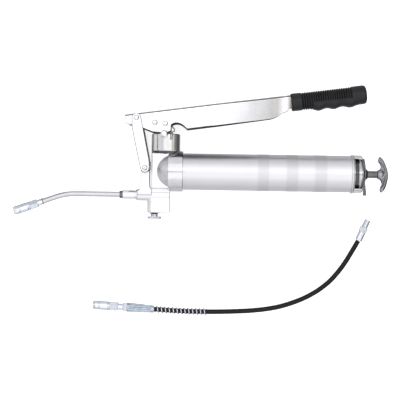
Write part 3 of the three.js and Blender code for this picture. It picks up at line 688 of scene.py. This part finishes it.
# ---------- pump head ----------
def head_casting():
    arm = [(-43, OUTLET_Y), (-43, -31.5), *bend((-43, -31.5), (-38.2, -28.5), (-37.9, -21))]
    arm += [(-38.1, 4.3), *arc(*LINK_FOOT, 6.9, 180, 0), (-23.9, -22)]
    arm += [*bend((-23.9, -22), (-23.6, -27), (-21, -28.6)), (-21, OUTLET_Y)]
    foot = [(x, y, z) for y in (-65.2, -36) for s in (-1, 1)
            for x, z in ((-27.3, 3 * s), (-22.4, 7.8 * s), (7.5, 7.8 * s))]
    parts = [
        lathe([(0, 2), (26, 2), (26, 8), (0, 8)], edge=0),
        block(-21.5, 6, -27, 28, -18.2, 18.2, 1.4),
        rod(9.2, -43.7, 7.5, edge=0.8, centre=(0, OUTLET_Y, 0)),
        block(-21.5, 7.5, OUTLET_Y, -25, -7.8, 7.8, 0.8),
        hull(foot, 1.0),
        prism(arm, -12, 12, 1.2),
        rod(6.9, -25, 25, "z", edge=0.8, centre=(*LINK_FOOT, 0)),
    ]
    return carve(
        melt(parts, 0.8, 5),
        rod(5.3, -46, -12, centre=(0, OUTLET_Y, 0)),
        rod(4.3, -67, -50, "y", centre=(BLEEDER[0], 0, 0)),
        rod(3.8, -26, 26, "z", centre=(*LINK_FOOT, 0)),
        rod(PLUNGER_BORE, -20, 33, "y"),
    )


def make_head():
    piece("head_casting", head_casting(), cast_metal, "head", "pump_head", sharp=50)
    dome_end = math.degrees(math.acos((DOME_CENTRE - COLLAR[0]) / DOME_RADIUS))
    dome = [(y, x) for x, y in arc(DOME_CENTRE, 0, DOME_RADIUS, 180, 180 - dome_end, 32)]
    dome[0] = (0, dome[0][1])
    shell = lathe([*dome, (30.9, 4.6), (30.9, 8), (0, 8)], edge=0)
    piece("head_dome", carve(shell, rod(PLUNGER_BORE, -20, 33, "y")), dome_metal, "head")
    band = [(29.2, 8.1), (29.2, COLLAR[0]), (31.2, COLLAR[0]), (31.5, 4.9), (31.5, 26.6),
            (31, COLLAR[1]), (28.9, COLLAR[1]), (28.9, 8.1)]
    piece("collar_band", lathe(band, sides=160), machined, "head")
    bore = PLUNGER_BORE
    # The root and its ledge carry the painted shadow under the column.
    root = lathe([(bore, 26.2), (18.2, 26.2), (18.2, 27.2), (21.8, 31.3), (bore, 31.3)], "y", 160)
    ledge = carve(block(-21.5, 26.5, 26.6, 31.3, -11, 11, 0.8), rod(12, 20, 40, "y", edge=0))
    piece("column_root", together(root, ledge), root_painted_shadow, "head")
    column = [(bore, 31.2), (22, 31.2), (22.4, 31.8), (22.4, 57), (21.4, 58), (13.4, 58),
              (13.4, 48.6), (11.9, 48.6), (11.9, 42), (8.4, 42), (8.4, 36), (bore, 36)]
    pin_x = PLUNGER_PIN[0]
    saddle = block(pin_x - 4.6, pin_x + 4.6, 52.4, 60, -24, 24)
    piece("pump_column", carve(lathe(column, "y", 160), saddle), column_metal, "head")


def make_plunger():
    x, low, high, r = 9.4, 49.4, 64.6, 4
    eye = [*arc(x - r, low + r, r, -90, 0, 8), *arc(x - r, high - r, r, 0, 90, 8)]
    eye += [*arc(r - x, high - r, r, 90, 180, 8), *arc(r - x, low + r, r, 180, 270, 8)]
    slot_y = PLUNGER_PIN[1] - 0.25
    slot = [*arc(2, slot_y, 4.05, -90, 90), *arc(-2, slot_y, 4.05, 90, 270)]
    body = together(rod(4.75, -17, 49.6, "y"), carve(prism(eye, -8, 8, 0.5), prism(slot, -9, 9, 0)))
    piece("plunger_rod", body, steel, "plunger", "plunger")


# ---------- lever, link and grip ----------
LEVER_FOLD = 3.8
SHEET = 2.2
LEVER_RISE = (95.3, 0.1372)  # the lever's back: its height at X 0, and its slope
LEVER_TAPER = (62, 182, 13.5)  # its sides draw in: from, to, how far


def lever_top(x):
    height, slope = LEVER_RISE
    return height + slope * x


def lever_half(x):
    """Half the lever's width, which draws in to the grip in one easy curve."""
    start, end, depth = LEVER_TAPER
    return LEVER_HALF - depth * ease((x - start) / (end - start))


def lever_section(x, low):
    """The folded sheet's section at x: down one side's face, and back up inside."""
    half, top = lever_half(x), lever_top(x)
    y, z = top - LEVER_FOLD, half - LEVER_FOLD
    outer = [(half, low), *arc(z, y, LEVER_FOLD, 0, 90, 7), *arc(-z, y, LEVER_FOLD, 90, 180, 7),
             (-half, low)]
    inner_r, inside = LEVER_FOLD - SHEET, half - SHEET
    inner = [(-inside, low), *arc(-z, y, inner_r, 180, 90, 7), *arc(z, y, inner_r, 90, 0, 7),
             (inside, low)]
    return [(x, b, a) for a, b in outer + inner]


def lever_shell():
    """The folded channel, cut to the side's outline and drilled for its pins."""
    bm = bmesh.new()
    rings = [[bm.verts.new(p) for p in lever_section(x, 40)]
             for x in (-70, -30, 10, 50, *steps_between(62, 184, 50), 205)]
    bm.faces.new(rings[0])
    bm.faces.new(rings[-1])
    channel = join_rings(bm, rings, False)
    side = [(-64.5, 110), (-63.9, lever_top(-63.9)), (-61, 71.6), (-52, 70.6), (-36, 66.2),
            (-20, 60.2)]
    side += arc(*PLUNGER_PIN, 5.7, 158, 387, 14)
    side += [(8.2, 62.6), (8.2, 71), *bend((8.2, 71), (13, 76), (21, 74)),
             *bend((21, 74), (27, 72), (32.8, 65.5))]
    side += [(161, 83.6), *bend((161, 83.6), (172, 85.5), (182, 93.6)), (191, 97.6), (193, 101),
             (193, 130), (-64.5, 130)]
    stamped = combine(channel, prism(side, -60, 60, 0), "INTERSECT")
    shaped = combine(stamped, prism(side, -25.02, 25.02, 0.7), "INTERSECT")
    holes = [rod(3.8, -40, 40, "z", 48, 0, (*p, 0)) for p in (LINK_HEAD, PLUNGER_PIN)]
    return carve(shaped, *holes)


def headed_pin(x, y, shank, head, under, top, rivet=False):
    """A pin along Z with a coned head at each end; a rivet's has no dimple."""
    rim, flat = under + (top - under) * 0.3, 0.62 * head
    middle = [(flat, top - 0.1), (flat - 0.5, top), (0, top)]
    if not rivet:
        middle = [(flat, top - 0.1), (flat - 0.4, top), (0.3 * head, top), (0.22 * head, top - 0.5),
                  (0, top - 0.5)]
    half = [(shank, 0), (shank, under), (head, under), (head, rim), *middle]
    whole = [(r, -h) for r, h in half[:0:-1]] + half[1:]
    return lathe(whole, "z", 64, 0.15, (x, y, 0))


def make_lever():
    gx, gy, tilt = GRIP
    shank = block(-7, 104, -9.2, 9.2, -8, 8, 2.6)
    shank.transform(Matrix.Translation((gx, gy, 0)) @ Matrix.Rotation(math.radians(tilt), 4, "Z"))
    piece("lever_channel", lever_shell(), lever_chrome_painted_reflection, "lever", "lever", sharp=40,
          rim=cut_edge_painted_shade)
    piece("lever_shank", shank, lever_chrome_painted_reflection, "lever")
    for name, (x, y) in zip(("lever_rivet_front", "lever_rivet_rear"), RIVETS):
        pin = headed_pin(x, y, 2.6, 4.4, LEVER_HALF + 0.05, LEVER_HALF + 2.2, True)
        piece(name + "_head", pin, chrome, "lever", name)
    pin = headed_pin(*PLUNGER_PIN, 3.5, 5.8, LEVER_HALF + 0.05, LEVER_HALF + 4)
    piece("plunger_pin_head", pin, chrome, "lever", "plunger_pin")
    z = LEVER_HALF - SHEET - 3.4
    wire = [(10.5, 73.4, z - 3), (10.4, 71.2, z + 1), (10.6, 68, z + 2.2), (13.4, 64.8, z + 4),
            (13.2, 61.6, z + 4.4), (10.8, 60.4, z + 4.6), (10.4, 56, z + 4.6), (9.6, 48.5, z + 4.6)]
    piece("lever_clip_wire", tube(smooth_path(wire, 8), 0.9, 12), steel, "lever", "lever_clip")


def make_link():
    fx, fy = LINK_FOOT
    hx, hy = LINK_HEAD
    side = [*arc(fx, fy, 7.1, 191, 371, 12), (-24.3, 13.5),
            *arc(hx, hy, 7.2, 6, 171, 12), (-52.1, 66.5), (-44.8, 32.1)]
    inner, outer = LINK_FACES
    for name, low, high in (("left", inner, outer), ("right", -outer, -inner)):
        strap = prism(side, low, high, 0.9)
        holes = [rod(3.6, -40, 40, "z", 48, 0, (*p, 0)) for p in (LINK_FOOT, LINK_HEAD)]
        piece(f"link_strap_{name}", carve(strap, *holes), chrome, "link", f"link_plate_{name}",
              rim=cut_edge_painted_shade)
    for name, (x, y) in (("lower", LINK_FOOT), ("upper", LINK_HEAD)):
        pin = headed_pin(x, y, 3.5, 4.3, outer + 0.05, 31.3)
        piece(f"link_pin_{name}_head", pin, chrome, "link", f"link_pin_{name}")


GRIP_PROFILE = ((0, 12.6), (0.6, 13.6), (1.6, 14), (14, 14), (15.2, 13.9), (50, 14), (92, 14.3),
                (95, 14.6), (112, 14.9), (115, 14.5), (117, 13), (118.1, 10.4), (118.5, 7))
GRIP_RIBS = (15.6, 95.4, 22)  # from, to, how many
GRIP_BUMPS = (42, 66, 91)


def grip_radius(x, angle):
    """Ribbed all round at the front, then ribbed above a ridge and waved for fingers below."""
    up = math.cos(angle)
    r = level(x, GRIP_PROFILE)
    start, end, count = GRIP_RIBS
    if start < x < end:
        wave = 0.5 + 0.5 * math.cos(2 * math.pi * count * (x - start) / (end - start))
        above = max(ease((up + 0.36) / 0.12), 1 - ease((x - 33) / 3))
        r += (wave**0.6 - 1) * 1.6 * above
        r += 0.55 * math.exp(-(((up + 0.36) / 0.07) ** 2)) * ease((x - 34) / 8)
    under = ease((-up - 0.25) / 0.7)
    r += sum(3.5 * math.exp(-(((x - b) / 8.5) ** 2)) for b in GRIP_BUMPS) * under
    return r


def make_grip():
    sides = 112
    angles = [2 * math.pi * k / sides for k in range(sides)]
    stations = [0, 0.3, 0.6, 1.1, 1.6, 5, 10, 14, 14.6, *steps_between(15.2, 96, 220), 100, 106,
                112, 113.5, 115, 116, 117, 117.6, 118.1, 118.35, 118.5]
    bm = bmesh.new()
    rings = [[bm.verts.new((0, 0, 0))]]
    for x in stations:
        around = [(grip_radius(x, a), a) for a in angles]
        rings.append([bm.verts.new((x, r * math.cos(a), r * math.sin(a))) for r, a in around])
    rings.append([bm.verts.new((118.5, 0, 0))])
    gx, gy, tilt = GRIP
    piece("grip_sleeve", join_rings(bm, rings, False), grip_rubber, "lever", "grip",
          place=at(gx, gy, 0, tilt), sharp=60)


# ---------- barrel and its inside ----------
def barrel_wall():
    r, raised = BARREL_RADIUS, BARREL_RADIUS + 0.25
    outside = [(r, 12), (r, 60)]
    for start, end in BANDS:
        outside += [(r, start - 3), (raised, start), (raised, end), (r, end + 3)]
    outside += [(r, 288.6), (28.9, 289.4), (29.8, 289.8), (30.3, 290.6), (30.3, 291.8),
                (29.8, 292.6), (26.9, 292.6)]
    return lathe([(26.9, 12), *outside], sides=192, edge=0.2)


def make_barrel():
    piece("barrel_tube", barrel_wall(), barrel_satin, "barrel", "barrel", sharp=40)
    x, end = CAP
    skirt = [
        (6, x + 2.6), (22.4, x + 2.6), (22.4, x - 2), (24.8, x - 4), (24.8, x - 6), (26.6, x - 6),
        (26.6, x), (LUG_RADIUS, x), (LUG_RADIUS, x + 0.8), (29.2, x + 1.3), (23.8, x + 1.8),
        (23.8, x + 6.2), (24.2, x + 6.6), (25.1, x + 7.6), (25.6, x + 9), (25.5, x + 10.6),
        (24.9, x + 12), (23.8, end - 1.2), (22.2, end - 0.2), (20.5, end), (6, end),
    ]
    lug = [(23, x + 0.5), (LUG_RADIUS, x + 0.5), (LUG_RADIUS, end - 2.4), (28.2, end - 1),
           (23, end - 1)]
    lugs = carve(lathe(lug, edge=0.5, sides=160), block(x - 1, end + 1, -22.7, 22.7, -40, 40))
    piece("cap_body", lathe(skirt, sides=160, edge=0.3), cap_chrome, "barrel", "end_cap")
    piece("cap_lugs", lugs, chrome, "barrel")
    # The waist's grooves are coloured near black: painted shade.
    waist = [(23.9, x + 1.6)]
    for step in (1.6, 3.2, 4.8):
        waist += [(24.4, x + step), (24.4, x + step + 0.7), (24.9, x + step + 0.9),
                  (24.9, x + step + 1.3)]
    waist += [(24.4, x + 6.3), (23.9, x + 6.3)]
    piece("cap_waist", lathe(waist, sides=160, edge=0.1), dark_chrome_and_groove_shade, "barrel")
    back = x + 2.2
    coil = piece("follower_coil", spring(20.5, 1.1, 11, 41, back), steel, "barrel",
                 "follower_spring")
    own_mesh(coil)
    foot = end + 0.3
    coil = piece("latch_coil", spring(7.2, 0.5, 1.5, foot, end + 1.9, 9.8, rest=0.2), steel,
                 "barrel", "latch_spring")
    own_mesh(coil)


def make_follower():
    cup = [(4.4, 34.6), (21, 34.6), (23, 34), (26.4, 31.5), (26.5, 32.4), (26.3, 36.5),
           (26.5, 41.5), (25.6, 44), (24, 44), (24, 38), (4.4, 38)]
    piece("follower_wiper", lathe(cup, edge=0.4), seal_rubber, "follower", "follower_cup")
    piece("follower_disc", ring(23.6, 4.4, 38.3, 40.2), steel, "follower", "follower_plate")


# ---------- pull rod, latch and T-handle ----------
def handle_casting():
    """A hub and a thin web, with a thick rim round the outside of the crescent."""
    wing = [(332, -6), *bend((332, -6), (337.2, -8), (337.6, -15)),
            *bend((337.6, -15), (337.2, -18.5), (334.4, -22.4)),
            *bend((334.4, -22.4), (333, -29.4), (337.4, -30.2)),
            *bend((337.4, -30.2), (344, -21), (346.4, -4))]
    wing += [(x, -y) for x, y in wing[::-1]]
    middle = [(336.9, -26.6), (340.2, -21.4), (343, -13), (344.9, -4), (344.9, 4), (343, 13),
              (340.2, 21.4), (336.9, 26.6)]
    rim = tube(smooth_path([(x, y, 0) for x, y in middle], 8), 3.3, 24)
    rim.transform(Matrix.Scale(1.6, 4, (0, 0, 1)))
    hub = lathe([(0, 331.3), (6.4, 331.3), (7.6, 333.5), (7.4, 338), (4, 343), (0, 343)])
    made = carve(melt([prism(wing, -3.6, 3.6, 1.4), rim, hub], 0.5, 4), rod(3.9, 320, 339.3))
    made.transform(Matrix.Rotation(math.radians(HANDLE_TURN), 4, "X"))
    return made


def make_pull_rod():
    shaft = [(0, 29), (3.9, 29), (4.05, 29.6), (4.05, 40.5), (5.5, 40.9), (5.5, 331), (3.6, 331),
             (3.6, 339), (0, 339)]
    piece("rod_shaft", lathe(shaft), dark_chrome_and_groove_shade, "pull_rod", "pull_rod")
    piece("handle_grip", handle_casting(), handle_metal, "pull_rod", "t_handle", sharp=50)
    buffer = [(5.8, 313.4), (8.5, 313.4), (8.3, 314.2), (7.3, 315.3), (6.6, 316), (5.8, 316)]
    piece("rod_buffer", lathe(buffer), grip_rubber, "pull_rod", "rod_bumper")


def make_latch():
    strip = [(308.4, 24), *bend((308.4, 24), (312.4, 4), (309.5, -13)), (310.8, -31),
             *arc(312.1, -32.1, 1.3, 180, 360, 8), (313.2, -28),
             (311.2, -13), *bend((311.2, -13), (314.4, 4), (309.6, 24.8))]
    strap = prism(strip, -11, 11, 0.3)
    piece("latch_strip", carve(strap, rod(6.4, 300, 320)), strip_zinc, "latch", "latch_plate")


# ---------- outlet and bleeder ----------
def make_outlet():
    place = at(0, OUTLET_Y, 0)
    adapter = [(2.3, -31), (2.3, -66), (6.2, -66), (6.8, -64.8), (6.8, -48.4), (6.4, -47.9),
               (6.4, -46.4), (6.8, -45.9), (8.2, -45.4), (8.2, -44), (4.9, -44), (4.9, -31)]
    piece("adapter_body", lathe(adapter), chrome, "head", "outlet_adapter", place=place)
    bands = [(4.3, -66.4), (6, -66.4), (6, -68), (5.5, -68.4), (5.5, -69), (6, -69.4), (6, -71),
             (4.3, -71)]
    piece("pipe_band", lathe(bands), steel, "head", "pipe_ring", place=place)
    slope = math.tan(math.radians(PIPE_TILT))
    bx = PIPE_BEND_X
    end = COUPLER_X - 5.6
    corner = bend((bx + 16, 0), (bx, 0), (bx - 16, -16 * slope), 16)
    line = [(-56.4, 0), (-90, 0), (-120, 0), (bx + 16, 0), *corner, (end, (end - bx) * slope)]
    pipe = tube([(x, y, 0) for x, y in line], 4.2, 48)
    piece("pipe_tube", pipe, satin_chrome, "head", "rigid_pipe", place=place)
    coupler = at(COUPLER_X, OUTLET_Y + (COUPLER_X - bx) * slope, 0, PIPE_TILT)
    make_coupler("pipe_coupler", "head", coupler, 4.2)
    foot = -30.6
    coil = piece("valve_coil", spring(3.6, 0.45, 4, foot, -19.7), steel, "head", "outlet_spring",
                 place=place)
    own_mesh(coil)


def make_bleeder():
    place = at(*BLEEDER, 0)
    washer = ring(6.6, 4.3, -1.8, -0.3, "y")
    piece("bleeder_gasket", washer, seal_rubber, "bleeder_seal", "bleeder_washer", place=place)
    shank = [(0, 10), (2.4, 10), *[(r, -y) for r, y in threads(3.9, 0.4, -7.6, 1.4, 1.0)],
             (3.6, -2.1), (5.4, -2.1), (5.4, -5.8), (0, -5.8)]
    knob = [(0, -5.6), (10.1, -5.6), (10.7, -6.3), (10.7, -8.6), (10.1, -9.3), (0, -9.3)]
    knurl = lathe(knob, "y", 180, 0.15,
                  press=lambda a, y: -0.45 * (0.5 + 0.5 * math.cos(36 * a)) * (-9 < y < -5.9))
    head = carve(knurl, block(-0.8, 0.8, -10, -8, -7, 7))
    piece("bleeder_knob", together(lathe(shank, "y", edge=0.1), head), zinc, "bleeder_screw",
          "bleeder_screw", place=place)


for make in (make_head, make_plunger, make_lever, make_link, make_grip, make_barrel, make_follower,
             make_pull_rod, make_latch, make_outlet, make_bleeder):
    make()

# ---------- what stays as the CAD model has it ----------
CARRIED = {
    seal_rubber: ("plunger_seal", "barrel_gasket", "pipe_coupler_seal", "hose_coupler_seal"),
    steel: ("gland_nut", "outlet_ball", "lever_bracket", "follower_nut"),
}
for material, names in CARRIED.items():
    for name in names:
        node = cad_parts[name]
        node.data.materials.clear()
        node.data.materials.append(material)


# ---------- floor and light ----------
def make_floor():
    size = 6
    corners = [(x * size, y * size, 0) for x, y in ((-1, -1), (1, -1), (1, 1), (-1, 1))]
    mesh = bpy.data.meshes.new("floor")
    mesh.from_pydata(corners, [], [(0, 1, 2, 3)])
    floor = bpy.data.objects.new("floor", mesh)
    scene.collection.objects.link(floor)
    floor.visible_glossy = False
    paper = bpy.data.materials.new("paper")
    paper.use_nodes = True
    shader = paper.node_tree.nodes["Principled BSDF"]
    shader.inputs["Base Color"].default_value = (0.88, 0.88, 0.88, 1)
    shader.inputs["Roughness"].default_value = 0.9
    shader.inputs["Emission Color"].default_value = (1, 1, 1, 1)
    shader.inputs["Emission Strength"].default_value = 0.65
    mesh.materials.append(paper)


def make_light():
    """A white sky overhead, dimmer all round: grey to the left and along the barrel's sides,
    almost black low down beyond the T-handle. Near the zenith run a bright tube and a grey gap."""
    world = bpy.data.worlds.new("studio")
    scene.world = world
    world.use_nodes = True
    tree = world.node_tree
    back = tree.nodes["Background"]
    where = tree.nodes.new("ShaderNodeTexCoord")
    split = tree.nodes.new("ShaderNodeSeparateXYZ")
    link(tree, where.outputs["Generated"], split.inputs["Vector"])

    def tones(axis, stops, tint=(1, 1, 1)):
        spread = span(tree, split.outputs[axis], -1, 1, 0, 1)
        shades = [((p + 1) / 2, tuple(value * t for t in tint)) for p, value in stops]
        return ramp(tree, spread, shades)

    lilac, warm = (0.99, 0.983, 1.03), (1.02, 1, 0.97)
    far = tones("Z", [(-0.8, 0.36), (-0.5, 0.44), (-0.4, 0.5), (-0.2, 0.54), (0.1, 0.58),
                      (0.68, 0.66), (0.78, 0.95)], lilac)
    near = tones("Z", [(-0.4, 0.5), (0, 0.6), (0.5, 0.68), (0.68, 0.74), (0.78, 0.98)], lilac)
    right = tones("Z", [(-0.7, 0.11), (-0.42, 0.06), (-0.2, 0.12), (0, 0.16), (0.28, 0.26),
                        (0.38, 0.7), (0.45, 0.55), (0.62, 0.55), (0.7, 1)], warm)
    left = tones("Z", [(-0.62, 0.12), (-0.36, 0.66), (-0.2, 1)])
    shade = tones("X", [(-0.34, 0.65), (-0.2, 1)])
    strip = tones("Y", [(-0.12, 0.5), (-0.08, 0.25), (-0.02, 0.25), (0.02, 0.5), (0.11, 0.5),
                        (0.14, 1), (0.22, 1), (0.26, 0.5)])
    across = mix(tree, near, far, span(tree, split.outputs["Y"], -0.2, 0.2, 0, 1))
    along = mix(tree, left, right, span(tree, split.outputs["X"], -0.2, 0.2, 0, 1))
    side = tree.nodes.new("ShaderNodeMath")
    side.operation = "ABSOLUTE"
    link(tree, split.outputs["X"], side.inputs[0])
    round_it = mix(tree, across, along, span(tree, side.outputs["Value"], 0.35, 0.65, 0, 1))
    seen = mix(tree, mix(tree, round_it, shade, 1.0, "MULTIPLY"), strip, 1.0, "MULTIPLY")
    link(tree, seen, back.inputs["Color"])
    back.inputs["Strength"].default_value = 2.86
    plain = tree.nodes.new("ShaderNodeBackground")
    plain.inputs["Color"].default_value = (0.9, 0.9, 0.9, 1)
    plain.inputs["Strength"].default_value = 1.1
    ray = tree.nodes.new("ShaderNodeLightPath")
    choose = tree.nodes.new("ShaderNodeMixShader")
    link(tree, ray.outputs["Is Camera Ray"], choose.inputs["Fac"])
    link(tree, back.outputs["Background"], choose.inputs[1])
    link(tree, plain.outputs["Background"], choose.inputs[2])
    link(tree, choose.outputs["Shader"], tree.nodes["World Output"].inputs["Surface"])


make_floor()
make_light()
scene.view_settings.view_transform = "Standard"
